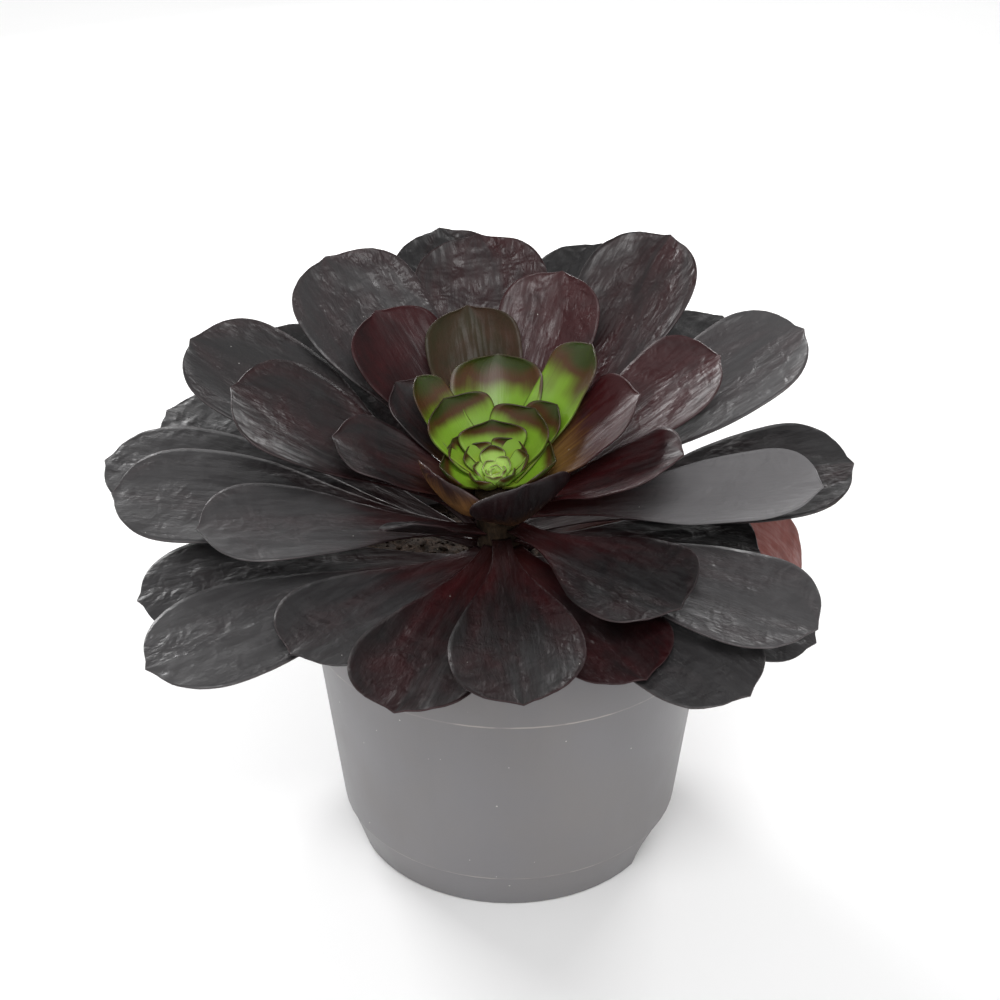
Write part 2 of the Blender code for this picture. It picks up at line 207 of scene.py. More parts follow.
SOIL_TOP = 0.114
SOIL_MOUND = 0.003
SOIL_RADIUS = 0.0812
SOIL_LUMPS = 0.0016
SOIL_PITS = 0.0007
SOIL_RINGS = 44
SOIL_SPOKES = 150
NOTCH_OUTER_X = 0.0690
NOTCH_INNER_X = 0.0520
NOTCH_ROOF = 0.0190
POT_FLOOR = 0.0024
SEAM_WELD = 0.00002
SOIL_SEED = 17
CRUMB_COUNT = 1500
CRUMB_REACH = 0.079
SMALLEST_CRUMB = 0.0004
CRUMB_SPREAD = 0.0016
CRUMB_CHIPPING = 0.0002
STRAW_COUNT = 26
STRAW_RADIUS = 0.00022
STRAW_STRIDE = 0.0030
STRAW_LIFT = 0.0006
STRAW_ARCH = 0.0015
SOIL_BROWN = (0.022, 0.014, 0.009)
BARK_BROWN = (0.060, 0.034, 0.020)
COIR_BROWN = (0.11, 0.072, 0.040)
PALE_BITS = (0.34, 0.28, 0.20)
STRAW_SHADE = (0.20, 0.13, 0.06)
STRAW = (0.46, 0.33, 0.17)


def soil_surface():
    """Damp brown clods and coir fibres with a few pale bits."""
    material, tree, shader = new_material("potting_mix", 0.25)
    place = add_node(tree, "ShaderNodeTexCoord").outputs["Object"]
    clod = grain(tree, place, 230.0, 6.0, 0.7)
    fibre = grain(tree, stretched(tree, place, (420.0, 150.0, 300.0)), 1.0, 5.0, 0.7, 1.5)
    colour = mix_colour(tree, step_between(tree, clod, 0.40, 0.68), SOIL_BROWN, BARK_BROWN)
    colour = mix_colour(tree, step_between(tree, fibre, 0.58, 0.72, 0.0, 0.8), colour, COIR_BROWN)
    colour = mix_colour(tree, specks(tree, place, 420.0, 0.16, 0.93, 0.7), colour, PALE_BITS)
    tree.links.new(colour, shader.inputs["Base Color"])
    shader.inputs["Roughness"].default_value = 0.95
    normal = relief(tree, clod, 0.0012, 0.9)
    normal = relief(tree, fibre, 0.0006, 0.8, normal)
    tree.links.new(normal, shader.inputs["Normal"])
    return material


mix_material = soil_surface()
soil = bmesh.new()
outline = [Vector((SOIL_RADIUS * ring / SOIL_RINGS, 0.0, SOIL_TOP))
           for ring in range(SOIL_RINGS + 1)]
outline += [Vector((NOTCH_OUTER_X, 0.0, NOTCH_ROOF)), Vector((NOTCH_INNER_X, 0.0, NOTCH_ROOF)),
            Vector((NOTCH_INNER_X, 0.0, POT_FLOOR)), Vector((0.0, 0.0, POT_FLOOR))]
chain = [soil.verts.new(point) for point in outline]
for first, second in zip(chain, chain[1:]):
    soil.edges.new((first, second))
bmesh.ops.spin(soil, geom=soil.verts[:] + soil.edges[:], cent=(0, 0, 0), axis=(0, 0, 1),
               angle=math.tau, steps=SOIL_SPOKES, use_merge=True)
bmesh.ops.remove_doubles(soil, verts=soil.verts, dist=SEAM_WELD)
bmesh.ops.recalc_face_normals(soil, faces=soil.faces)


def ground(x, y):
    """Height of the potting mix's top at a place."""
    out = math.hypot(x, y) / SOIL_RADIUS
    mound = SOIL_MOUND * (1 - out * out)
    spot = Vector((x, y, 0.0))
    lumps = noise.fractal(spot * 90, 0.8, 2.0, 4) * SOIL_LUMPS
    pits = noise.fractal(spot * 420, 0.9, 2.0, 3) * SOIL_PITS
    return SOIL_TOP + mound + (lumps + pits) * min(1.0, (1 - out) * 9)


for vert in soil.verts:
    if vert.co.z > SOIL_TOP - 0.0001:
        vert.co.z = ground(vert.co.x, vert.co.y)
finish_piece("potting_mix", soil, [mix_material], "soil")

dice = random.Random(SOIL_SEED)
crumbs = bmesh.new()
for _ in range(CRUMB_COUNT):
    reach = CRUMB_REACH * math.sqrt(dice.random())
    turn = dice.uniform(0, math.tau)
    x, y = reach * math.cos(turn), reach * math.sin(turn)
    size = SMALLEST_CRUMB + CRUMB_SPREAD * dice.random() ** 3
    made = bmesh.ops.create_icosphere(crumbs, subdivisions=1, radius=size)["verts"]
    flat = Matrix.Diagonal((dice.uniform(0.6, 1.9), dice.uniform(0.5, 1.0),
                            dice.uniform(0.3, 0.8), 1.0))
    tilt = Matrix.Rotation(dice.uniform(-0.6, 0.6), 4, "X") @ Matrix.Rotation(
        dice.uniform(0, math.tau), 4, "Z")
    spot = Matrix.Translation((x, y, ground(x, y) + 0.15 * size))
    bmesh.ops.transform(crumbs, matrix=spot @ tilt @ flat, verts=made)
# This noise starts from the clock unless it is given a seed.
noise.seed_set(SOIL_SEED)
for vert in crumbs.verts:
    vert.co += noise.noise_vector(vert.co * 900) * CRUMB_CHIPPING
crumb_piece = finish_piece("bark_crumbs", crumbs, [mix_material])
crumb_piece.data.shade_flat()


def straw_fibre():
    """Dry straw, darker along its fibres."""
    material, tree, shader = new_material("dry_straw", 0.3)
    place = add_node(tree, "ShaderNodeTexCoord").outputs["Object"]
    fibre = grain(tree, place, 800.0, 4.0)
    colour = mix_colour(tree, step_between(tree, fibre, 0.35, 0.7), STRAW_SHADE, STRAW)
    tree.links.new(colour, shader.inputs["Base Color"])
    shader.inputs["Roughness"].default_value = 0.8
    tree.links.new(relief(tree, fibre, 0.0002, 0.6), shader.inputs["Normal"])
    return material


straw = bpy.data.curves.new("straw", "CURVE")
straw.dimensions = "3D"
straw.bevel_depth = STRAW_RADIUS
straw.bevel_resolution = 1
straw.use_fill_caps = True
for _ in range(STRAW_COUNT):
    spline = straw.splines.new("NURBS")
    spline.points.add(5)
    x, y = dice.uniform(-0.005, 0.055), dice.uniform(-0.070, -0.020)
    heading = dice.uniform(0, math.tau)
    for index, point in enumerate(spline.points):
        arch = STRAW_ARCH * math.sin(index * 0.63)
        point.co = (x, y, ground(x, y) + STRAW_LIFT + arch, 1.0)
        heading += dice.uniform(-0.7, 0.7)
        x += STRAW_STRIDE * math.cos(heading)
        y += STRAW_STRIDE * math.sin(heading)
    spline.use_endpoint_u = True
    spline.resolution_u = 4
strands = bpy.data.objects.new("strands", straw)
bpy.context.scene.collection.objects.link(strands)
strand_mesh = bpy.data.meshes.new_from_object(
    strands.evaluated_get(bpy.context.evaluated_depsgraph_get()))
bpy.data.objects.remove(strands)
finish_piece("straw_strands", strand_mesh, [straw_fibre()])

# The stem
# One short woody stem, plumb in the mix and then leaning to the front. Every
# leaf that has dropped left a crescent scar in its bark.

STEM_FOOT = Vector((-0.0025, 0.0070, 0.086))
STEM_PLUMB = 0.021
STEM_BEND = 0.018
STEM_LEAFY = 0.0405
STEM_TILT = math.radians(18.0)
STEM_TILT_TURN = -12.0
STEM_FOOT_RADIUS = 0.0115
STEM_TOP_RADIUS = 0.0085
SCAR_COUNT = 14
SCAR_SPACING = 1.3
SCAR_HALF_WIDTH = 0.0040
SCAR_HALF_HEIGHT = 0.0016
SCAR_LIP = 0.0007
SCAR_HOLLOW = 0.0004
BARK_ROUGHNESS = 0.0003
YOUNG_BARK_FROM = 0.125
YOUNG_BARK_TO = 0.150
OLD_BARK = ((0.028, 0.017, 0.010), (0.080, 0.052, 0.032))
YOUNG_BARK = ((0.020, 0.012, 0.006), (0.052, 0.030, 0.014))
ROOT_STEP = 0.00081
GOLDEN_ANGLE = 137.508
FIRST_TURN = 70.5


def stem_place(along):
    """Centre and direction of the stem at a distance from its foot."""
    lean = Vector((math.sin(math.radians(STEM_TILT_TURN)),
                   -math.cos(math.radians(STEM_TILT_TURN)), 0.0))
    upward = Vector((0.0, 0.0, 1.0))
    centre = STEM_FOOT + upward * min(along, STEM_PLUMB)
    bent = min(max(along - STEM_PLUMB, 0.0) / STEM_BEND, 1.0) * STEM_TILT
    bend_radius = STEM_BEND / STEM_TILT
    centre += lean * bend_radius * (1 - math.cos(bent)) + upward * bend_radius * math.sin(bent)
    direction = lean * math.sin(bent) + upward * math.cos(bent)
    straight = max(along - STEM_PLUMB - STEM_BEND, 0.0)
    return centre + direction * straight, direction


def stem_radius(along):
    """The stem's radius at a distance from its foot."""
    share = along / (STEM_PLUMB + STEM_BEND + STEM_LEAFY)
    return STEM_FOOT_RADIUS + share * (STEM_TOP_RADIUS - STEM_FOOT_RADIUS)


def rosette_matrix(height):
    """Frame of the rosette at a height up the leafy stem, Z on its axis."""
    centre, direction = stem_place(STEM_PLUMB + STEM_BEND + height)
    turn = Vector((0.0, 0.0, 1.0)).rotation_difference(direction)
    return Matrix.Translation(centre) @ turn.to_matrix().to_4x4()


def stem_bark():
    """Fissured bark, dull brown low down and darker where it is still young."""
    material, tree, shader = new_material("stem_bark", 0.35)
    place = add_node(tree, "ShaderNodeTexCoord").outputs["Object"]
    height = add_node(tree, "ShaderNodeSeparateXYZ", {0: place}).outputs["Z"]
    fissure = grain(tree, stretched(tree, place, (500.0, 500.0, 90.0)), 1.0, 5.0, 0.7)
    cracked = step_between(tree, fissure, 0.35, 0.65)
    old, young = (mix_colour(tree, cracked, *pair) for pair in (OLD_BARK, YOUNG_BARK))
    colour = mix_colour(tree, step_between(tree, height, YOUNG_BARK_FROM, YOUNG_BARK_TO), old, young)
    tree.links.new(colour, shader.inputs["Base Color"])
    shader.inputs["Roughness"].default_value = 0.8
    tree.links.new(relief(tree, fissure, 0.0008, 0.8), shader.inputs["Normal"])
    return material


stem_length = STEM_PLUMB + STEM_BEND + STEM_LEAFY
bark = bmesh.new()
bmesh.ops.create_grid(bark, x_segments=96, y_segments=64, size=0.5)
for vert in bark.verts:
    turn, along = math.tau * (vert.co.x + 0.5), (vert.co.y + 0.5) * stem_length
    centre, direction = stem_place(along)
    swing = Vector((0.0, 0.0, 1.0)).rotation_difference(direction)
    radius = stem_radius(along)
    for step in range(-SCAR_COUNT, 0):
        scar_turn = math.radians(FIRST_TURN - GOLDEN_ANGLE * step)
        scar_along = STEM_PLUMB + STEM_BEND + ROOT_STEP * SCAR_SPACING * step
        apart = (turn - scar_turn + math.pi) % math.tau - math.pi
        away = math.hypot(apart * radius / SCAR_HALF_WIDTH,
                          (along - scar_along) / SCAR_HALF_HEIGHT)
        radius += (SCAR_LIP * math.exp(-(away - 1.0) ** 2 * 9)
                   - SCAR_HOLLOW * math.exp(-away ** 2 * 4))
    rough = noise.fractal(Vector((math.cos(turn), math.sin(turn), along * 200)) * 2.5, 0.8, 2.0, 3)
    radius += BARK_ROUGHNESS * rough
    ray = Vector((math.cos(turn), math.sin(turn), 0.0))
    vert.co = centre + swing @ (ray * radius)
bmesh.ops.remove_doubles(bark, verts=bark.verts, dist=SEAM_WELD)
bmesh.ops.holes_fill(bark, edges=[e for e in bark.edges if e.is_boundary], sides=0)
bmesh.ops.recalc_face_normals(bark, faces=bark.faces)
finish_piece("stem_with_scars", bark, [stem_bark()], "stem")

# The dark leaves
# Forty fleshy blades that climb the stem on a spiral, about a golden angle apart.
# Each is slender at its root, broad and round at its end, with a small point and
# a thin margin, and its waxy skin is furrowed lengthwise and blistered.

ROOT_WIDTH = 0.0078
LEAF_THICKNESS = 0.0023
LEAF_EDGE_SHARE = 0.26
LEAF_WIDEST = 0.76
LEAF_WAIST = 1.5
YOUNG_WAIST = 0.7
YOUNG_STEP = 43
LEAF_END = 2.8
LEAF_POINT = 0.0018
POINT_HALF_WIDTH = 0.0042
POINT_BASE = 0.0060
LEAF_DROOP = -20.0
LEAF_CURL = 0.6
LEAF_CUP = -0.02
LEAF_CUP_GAIN = 0.006
LEAF_ROWS = 64
LEAF_COLUMNS = 26
TIP_CROWDING = 1.5
MARGIN_WAVE = 0.0012
FULLY_WAVED_LENGTH = 0.08
BLISTER = 0.0012
FURROW = 0.0004
GAP = 0.0003
USUAL_CRUMPLE = 0.4
LEAF_MARGIN = (0.062, 0.038, 0.040)
# Grey of the painted sheen, a reflection of the lights painted on some leaves.
PAINTED_SHEEN_GREY = (0.150, 0.145, 0.149)
DULL_LEAVES = (16, 19, 24, 41)
# The hanging leaf whose own wine red is painted pale as well, for the sheen of the white floor it
# mirrors.
SHEEN_PAINTED_LEAF = 5
TURNING_LEAF = 49

# Each row is one leaf, from the lowest up: its step on the spiral, the degrees
# its place is off that step, the rise at its root from the rosette's plane,
# any bend of its own, its length and width in millimetres, its roll.
LEAVES = (
    (0, -8, 26, -24, 137, 44, 0),
    (1, -6, 23, -2, 149, 50, 0),
    (3, 22, 23.5, -2, 140, 48, 0),
    (4, 3, 18, 0, 164, 50, 0),
    (5, -2, 27, -84, 163, 34, 30),
    (6, -22, 21.5, 0, 157, 50, 0),
    (7, 0, 14, 0, 142, 48, 0),
    (9, -14, 18, 0, 169, 52, 0),
    (10, 3, 15, 0, 156, 50, 0),
    (12, 8, 23, 0, 147, 52, 0),
    (13, -7, 12, 0, 105, 44, 0),
    (14, 12, 21.5, 0, 114, 48, 0),
    (15, -8, 24, 0, 152, 54, 0),
    (16, -2, 16, 2, 111, 44, 0),
    (17, 17, 19, -2, 156, 54, 0),
    (18, -22, 13, 0, 144, 54, 0),
    (19, 5, 19.5, 0, 124, 50, 0),
    (20, -11, 28, 0, 147, 52, 0),
    (21, -8.5, 15.5, -4, 142, 47, 0),
    (22, -1, 23, -2, 122, 44, 0),
    (24, -6, 23, -4, 130, 48, 0),
    (25, 12, 25, 4, 147, 54, 0),
    (26, 15, 24, 2, 144, 52, 0),
    (27, -10, 36, 0, 60, 24, 40),
    (28, 2, 29, 0, 131, 58, 0),
    (29, -1, 15, 0, 101, 48, 0),
    (30, -6, 32, 2, 118, 52, 0),
    (31, 14, 29, 0, 139, 51, 0),
    (33, 2, 28, 0, 134, 57, 0),
    (34, -1, 17, 0, 131, 40, 0),
    (36, -1, 34, 0, 103, 43, 0),
    (37, 0, 34, 46, 54, 41, 0),
    (39, 0, 26, 0, 105, 46, 0),
    (40, -16, 36, 42, 47, 36, 0),
    (41, 23, 32, 0, 93, 42, 0),
    (42, 12, 31, 0, 89, 34, 0),
    (43, -11, 29, 0, 70, 33, 0),
    (46, 2.5, 29.5, 3, 60, 24, 0),
    (47, 6, 37, 0, 72, 38, 0),
    (49, 15, 28, 6, 78, 39, 0),
)

# What a leaf has of its own, by its step: how wine red it is where its place on
# the spiral doesn't say it, how green the young ones next to the heart still are
# at their roots, how much a painted sheen greys it, and how blistered it is.
OWN_WINE = {5: 1.2, 14: 0.2, 16: 0.55, 19: 0.4, 24: 0.25, 27: 0.3, 28: 0.6, 29: 0.2, 30: 0.4,
            31: 0.5, 36: 1.1, 37: 0.35, 39: 0.9, 40: 0.9, 41: 0.8, 42: 0.6, 43: 0.4,
            46: 0.4, 47: 1.2, 49: 0.5}
OWN_GREEN = {37: 0.4, 40: 1.0, 43: 0.1, 46: 0.3, 47: 0.85, 49: 0.8}
OWN_PAINTED_SHEEN = {0: 0.2, 1: 0.1, 3: 0.15, 4: 0.1, 6: 0.25, 9: 0.15, 14: 0.1, 17: 0.22, 18: 0.05,
             21: 0.35, 22: 0.30, 25: 0.1, 26: 0.32, 33: 0.15, 34: 1.0}
OWN_CRUMPLE = {15: 0.8, 20: 0.7, 25: 0.4, 26: 0.35, 28: 0.75, 31: 0.5, 33: 0.8, 34: 0.25, 36: 0.6,
               37: 0.1, 40: 0.1, 41: 0.12, 42: 0.2, 43: 0.12, 46: 0.12, 47: 0.12, 49: 0.2}


def half_width(along, width, root_width, waist):
    """Spatulate outline: slender at the root, broad and round at the end."""
    if along < LEAF_WIDEST:
        spread = along / LEAF_WIDEST
        spread = (spread * spread * (3 - 2 * spread)) ** waist
        return (root_width + (width - root_width) * spread) / 2
    past = (along - LEAF_WIDEST) / (1 - LEAF_WIDEST)
    return width / 2 * math.sqrt(max(1 - past ** LEAF_END, 0.0))


def leaf_point(leaf, along, across):
    """A point of the leaf's upper face; along 0..1, across -1..1."""
    turn = math.radians(leaf["turn"])
    rise = math.radians(leaf["rise"])
    bend = math.radians(leaf["bend"]) or 1e-6
    pitch = rise + bend * along
    reach = leaf["length"] * (math.sin(pitch) - math.sin(rise)) / bend
    lift = leaf["length"] * (math.cos(rise) - math.cos(pitch)) / bend
    outward = Vector((math.sin(turn), -math.cos(turn), 0.0))
    sideways = Vector((math.cos(turn), math.sin(turn), 0.0))
    upward = Vector((0.0, 0.0, 1.0))
    tangent = outward * math.cos(pitch) + upward * math.sin(pitch)
    normal = upward * math.cos(pitch) - outward * math.sin(pitch)
    roll = math.radians(leaf["roll"]) * along
    side = sideways * math.cos(roll) + normal * math.sin(roll)
    face = normal * math.cos(roll) - sideways * math.sin(roll)
    half = half_width(along, leaf["width"], leaf["root_width"], leaf["waist"])
    point = outward * (leaf["start"] + reach) + upward * lift
    point += side * half * across + face * leaf["cup"] * half * across * across
    off_tip = math.hypot(half * across / POINT_HALF_WIDTH,
                         (1 - along) * leaf["length"] / POINT_BASE)
    point += tangent * leaf["point"] * max(0.0, 1 - off_tip) ** 1.3
    point += face * skin_height(leaf, along, across * half)
    return leaf["frame"] @ point


def skin_height(leaf, along, aside):
    """Waved margin, lengthwise furrows and blisters, off the smooth face."""
    seed = leaf["seed"] * 7.3
    length = leaf["length"]
    grown = min(1.0, along * 2.2) * min(1.0, length / FULLY_WAVED_LENGTH)
    crumple = leaf["crumple"]
    edge = min(abs(aside) / (leaf["width"] / 2), 1.0)
    wave = math.sin(along * 15 + seed) * math.copysign(1.0, aside) + math.sin(along * 9 - seed)
    furrow = noise.fractal(Vector((aside * 260, along * length * 38, seed)), 0.8, 2.0, 3)
    blister = noise.fractal(Vector((aside * 80, along * length * 80, seed + 5)), 0.6, 2.0, 3)
    inner = 1 - edge ** 6
    return grown * (MARGIN_WAVE * 0.5 * wave * edge ** 3
                    + inner * (FURROW * furrow * (1 - 0.5 * along)
                               + BLISTER * crumple * blister * along))


def leaf_object(name, leaf, materials, node=None, rows=LEAF_ROWS, columns=LEAF_COLUMNS):
    """A grid bent to the leaf's face, then thickened downwards. One map holds
    the shares across and along, the other the flat leaf's size in decimetres,
    and the leaf's own numbers go on its points for the skin to read."""
    bm = bmesh.new()
    bmesh.ops.create_grid(bm, x_segments=rows, y_segments=columns, size=1.0)
    fatness = bm.verts.layers.deform.verify()
    leaf_map = bm.loops.layers.uv.new("leaf_map")
    flat_map = bm.loops.layers.uv.new("flat_map")
    places, flat = {}, {}
    for vert in bm.verts:
        along = 1 - (0.5 - 0.5 * vert.co.x) ** TIP_CROWDING
        across = vert.co.y
        places[vert] = (0.5 + 0.5 * across, along)
        half = half_width(along, leaf["width"], leaf["root_width"], leaf["waist"])
        flat[vert] = (10 * half * across, 10 * along * leaf["length"])
        thin = max(across * across, along ** 3)
        vert[fatness][0] = 1 - (1 - LEAF_EDGE_SHARE) * thin
        vert.co = leaf_point(leaf, along, across)
    for face in bm.faces:
        for loop in face.loops:
            loop[leaf_map].uv = places[loop.vert]
            loop[flat_map].uv = flat[loop.vert]
    bmesh.ops.remove_doubles(bm, verts=bm.verts, dist=SEAM_WELD)
    piece = finish_piece(name, bm, materials, node)
    for key in ("wine", "green", "crumple", "painted_sheen", "seed"):
        values = piece.data.attributes.new(key, "FLOAT", "POINT")
        values.data.foreach_set("value", [leaf[key]] * len(piece.data.vertices))
    piece.vertex_groups.new(name="thickness")
    solidify = piece.modifiers.new("Thickness", "SOLIDIFY")
    solidify.thickness = leaf["thickness"]
    solidify.offset = -1.0
    solidify.vertex_group = "thickness"
    solidify.material_offset = 1
    solidify.material_offset_rim = 0
    return piece


def leaf_number(tree, key):
    """One of the leaf's own numbers, such as how wine red it is."""
    return add_node(tree, "ShaderNodeAttribute", attribute_name=key).outputs["Fac"]


def leaf_shares(tree):
    """The place on the leaf map, how near a margin it is, how far up the leaf."""
    spot = add_node(tree, "ShaderNodeUVMap", uv_map="leaf_map").outputs[0]
    apart = add_node(tree, "ShaderNodeSeparateXYZ", {0: spot})
    off_middle = maths(tree, "ABSOLUTE", maths(tree, "SUBTRACT", apart.outputs["X"], 0.5))
    return spot, maths(tree, "MULTIPLY", off_middle, 2.0), apart.outputs["Y"]


def swayed(tree, value, pattern, width, middle=0.5):
    """A value moved up and down by a noise pattern, so no border runs straight."""
    sway = maths(tree, "MULTIPLY", maths(tree, "SUBTRACT", pattern, middle), width)
    return maths(tree, "ADD", value, sway)


def leaf_skin(name, old, wine_red, root, ruddy_root, young_root, green_reach, gloss, wrinkling,
              shine=0.5):
    """Leaf skin: the colours of an old leaf and of a wine-red one, of their roots
    and of a young green root, how far up that green goes, how rough the skin is,
    how deep its relief, and how strongly it mirrors."""
    material, tree, shader = new_material(name, shine)
    place = add_node(tree, "ShaderNodeTexCoord").outputs["Object"]
    spot, aside, along = leaf_shares(tree)
    wine, green, seed = (leaf_number(tree, key) for key in ("wine", "green", "seed"))
    shift = add_node(tree, "ShaderNodeCombineXYZ", {"X": seed, "Y": 0.0, "Z": seed}).outputs[0]
    own = add_node(tree, "ShaderNodeVectorMath", {0: spot, 1: shift}, operation="ADD").outputs[0]
    streak = grain(tree, stretched(tree, own, (34.0, 2.0, 1.0)), 1.0, 4.0, 0.6, 0.2)
    blotch = grain(tree, stretched(tree, own, (3.5, 3.0, 1.0)), 1.0, 4.0, 0.6, 0.5)
    cloud = grain(tree, place, 60.0, 4.0, 0.6)

    redness = swayed(tree, maths(tree, "MULTIPLY", wine, 0.8), blotch, 1.2, 0.47)
    redness = maths(tree, "ADD", redness, step_between(tree, along, 0.75, 0.2, 0.0, 0.42))
    colour = mix_colour(tree, step_between(tree, redness, 0.05, 1.0), old, wine_red)
    wander = swayed(tree, along, streak, 0.5)
    ruddy = mix_colour(tree, step_between(tree, wine, 0.25, 0.9), root, ruddy_root)
    base = mix_colour(tree, green, ruddy, young_root)
    reach = maths(tree, "ADD", 0.25, maths(tree, "MULTIPLY", green, green_reach))
    rooted = maths(tree, "SUBTRACT", reach, wander)
    colour = mix_colour(tree, step_between(tree, rooted, -0.22, 0.22), colour, base)
    colour = mix_colour(tree, step_between(tree, cloud, 0.45, 0.75, 0.0, 0.5), colour,
                        tuple(0.5 * c for c in old))
    margin = maths(tree, "MAXIMUM", step_between(tree, aside, 0.975, 0.999),
                   step_between(tree, along, 0.994, 1.0))
    margin = maths(tree, "MULTIPLY", margin, step_between(tree, blotch, 0.35, 0.6, 0.10, 0.45))
    margin = maths(tree, "MULTIPLY", margin, step_between(tree, along, 0.30, 0.55))
    colour = mix_colour(tree, margin, colour, LEAF_MARGIN)
    # Painted sheen: a grey laid on the outer half of a leaf, as much as its own number says.
    painted_sheen = maths(tree, "MULTIPLY", leaf_number(tree, "painted_sheen"),
                  step_between(tree, along, 0.25, 0.60))
    colour = mix_colour(tree, painted_sheen, colour, PAINTED_SHEEN_GREY)
    colour = mix_colour(tree, specks(tree, place, 260.0, 0.075, 0.965, 0.7), colour, DUST)
    tree.links.new(colour, shader.inputs["Base Color"])

    blistered = maths(tree, "MULTIPLY", step_between(tree, along, 0.15, 0.6, 0.2, 1.0),
                      leaf_number(tree, "crumple"))
    patchy = step_between(tree, blotch, 0.40, 0.58, 0.25, 1.0)
    blistered = maths(tree, "MULTIPLY", blistered, patchy)
    flat = add_node(tree, "ShaderNodeUVMap", uv_map="flat_map").outputs[0]
    flat = add_node(tree, "ShaderNodeVectorMath", {0: flat, 1: shift}, operation="ADD").outputs[0]
    blisters = grain(tree, stretched(tree, flat, (9.0, 11.0, 1.0)), 1.0, 2.0, 0.5, 0.5)
    ripples = grain(tree, stretched(tree, flat, (64.0, 27.0, 1.0)), 1.0, 2.0, 0.5, 0.4)
    furrows = grain(tree, stretched(tree, flat, (55.0, 6.0, 1.0)), 1.0, 3.0, 0.55, 0.2)
    dulled = maths(tree, "ADD", step_between(tree, cloud, 0.3, 0.7, gloss - 0.05, gloss + 0.07),
                   step_between(tree, furrows, 0.42, 0.60, 0.0, 0.22))
    tree.links.new(dulled, shader.inputs["Roughness"])
    pores = grain(tree, place, 650.0, 3.0, 0.6)
    normal = relief(tree, pores, 0.00012, 0.5)
    fading = step_between(tree, along, 0.95, 0.3, 0.15, 0.6)
    normal = relief(tree, furrows, 0.0005 * wrinkling, fading, normal)
    for height, distance in ((ripples, 0.0009), (blisters, 0.0048)):
        normal = relief(tree, height, distance * wrinkling, blistered, normal)
    tree.links.new(normal, shader.inputs["Normal"])
    return material


upper_skin = leaf_skin(
    "dark_leaf_face", old=(0.0080, 0.0068, 0.0074), wine_red=(0.0420, 0.0055, 0.0070),
    root=(0.0320, 0.0065, 0.0065), ruddy_root=(0.1100, 0.0090, 0.0085),
    young_root=(0.2600, 0.1500, 0.0400), green_reach=0.22, gloss=0.38, wrinkling=1.0)
under_skin = leaf_skin(
    "dark_leaf_back", old=(0.0110, 0.0085, 0.0092), wine_red=(0.0300, 0.0070, 0.0080),
    root=(0.0260, 0.0090, 0.0080), ruddy_root=(0.0900, 0.0180, 0.0120),
    young_root=(0.3200, 0.1500, 0.0450), green_reach=0.55, gloss=0.38, wrinkling=0.4)
dull_skin = leaf_skin(
    "dull_leaf_face", old=(0.0075, 0.0062, 0.0066), wine_red=(0.0420, 0.0055, 0.0070),
    root=(0.0200, 0.0060, 0.0060), ruddy_root=(0.0600, 0.0080, 0.0070),
    young_root=(0.2600, 0.1500, 0.0400), green_reach=0.20, gloss=0.42, wrinkling=1.2, shine=0.22)
# Leaf 5's skin on both faces: its own wine red, painted pale all over for the sheen of the white
# floor it mirrors at a grazing angle.
sheen_painted_red_skin = leaf_skin(
    "red_leaf_painted_pale", old=(0.1700, 0.0560, 0.0440), wine_red=(0.2100, 0.0480, 0.0360),
    root=(0.0300, 0.0100, 0.0090), ruddy_root=(0.0350, 0.0100, 0.0090),
    young_root=(0.2200, 0.1200, 0.0500), green_reach=0.20, gloss=0.48, wrinkling=0.5)
turning_skin = leaf_skin(
    "turning_leaf_face", old=(0.0240, 0.0220, 0.0070), wine_red=(0.0560, 0.0160, 0.0090),
    root=(0.1400, 0.0350, 0.0220), ruddy_root=(0.1600, 0.0350, 0.0220),
    young_root=(0.3800, 0.2900, 0.1500), green_reach=0.22, gloss=0.44, wrinkling=0.4, shine=0.25)
own_skins = {SHEEN_PAINTED_LEAF: [sheen_painted_red_skin, sheen_painted_red_skin], TURNING_LEAF: [turning_skin, under_skin]}
for step in DULL_LEAVES:
    own_skins[step] = [dull_skin, under_skin]

for step, nudge, rise, own_bend, length, width, roll in LEAVES:
    height = ROOT_STEP * step
    start = stem_radius(STEM_PLUMB + STEM_BEND + height) + GAP
    leaf_object(f"dark_leaf_{step:02d}", {
        "frame": rosette_matrix(height), "start": start,
        "turn": FIRST_TURN - GOLDEN_ANGLE * step + nudge, "rise": rise,
        "bend": LEAF_DROOP + LEAF_CURL * step + own_bend, "roll": roll,
        "cup": LEAF_CUP + LEAF_CUP_GAIN * step, "length": length / 1000 - start,
        "width": width / 1000, "root_width": ROOT_WIDTH, "thickness": LEAF_THICKNESS,
        "point": LEAF_POINT, "seed": (step * 0.618) % 1.0,
        "waist": YOUNG_WAIST if step >= YOUNG_STEP else LEAF_WAIST,
        "wine": OWN_WINE.get(step, max(0.0, (step - 10) / 60)),
        "green": OWN_GREEN.get(step, 0.0), "crumple": OWN_CRUMPLE.get(step, USUAL_CRUMPLE),
        "painted_sheen": OWN_PAINTED_SHEEN.get(step, 0.0),
    }, own_skins.get(step, [upper_skin, under_skin]), f"leaf_{step:02d}")

# The green heart
# The young leaves at the growing tip, closed round each other like a bowl, with
# the smallest in a pale bud. They are bright green low down, with a maroon band
# and an olive end, and grow from one point, so they are one piece.

HEART_BEND = 30.0
HEART_CUP = 0.45
HEART_INNER_COUNT = 13
HEART_INNER_TURN = 100.0
HEART_INNER_LONGEST = 0.014
HEART_INNER_DECLINE = 0.90
HEART_INNER_RISE = 30.0
HEART_INNER_STEEPER = 24.0
HEART_OUTER_INWARD = 0.3
HEART_LIFT = 0.0018
HEART_INWARD_LIFT = 0.0012
HEART_START = 0.005
HEART_THICKNESS = 0.0020
HEART_INWARD_THINNING = 0.0008
HEART_POINT = 0.0010
HEART_CRUMPLE = 0.15
HEART_ROWS = 26
HEART_COLUMNS = 16
HEART_RIM = (0.045, 0.022, 0.010)
BUD_RIM = (0.420, 0.460, 0.200)

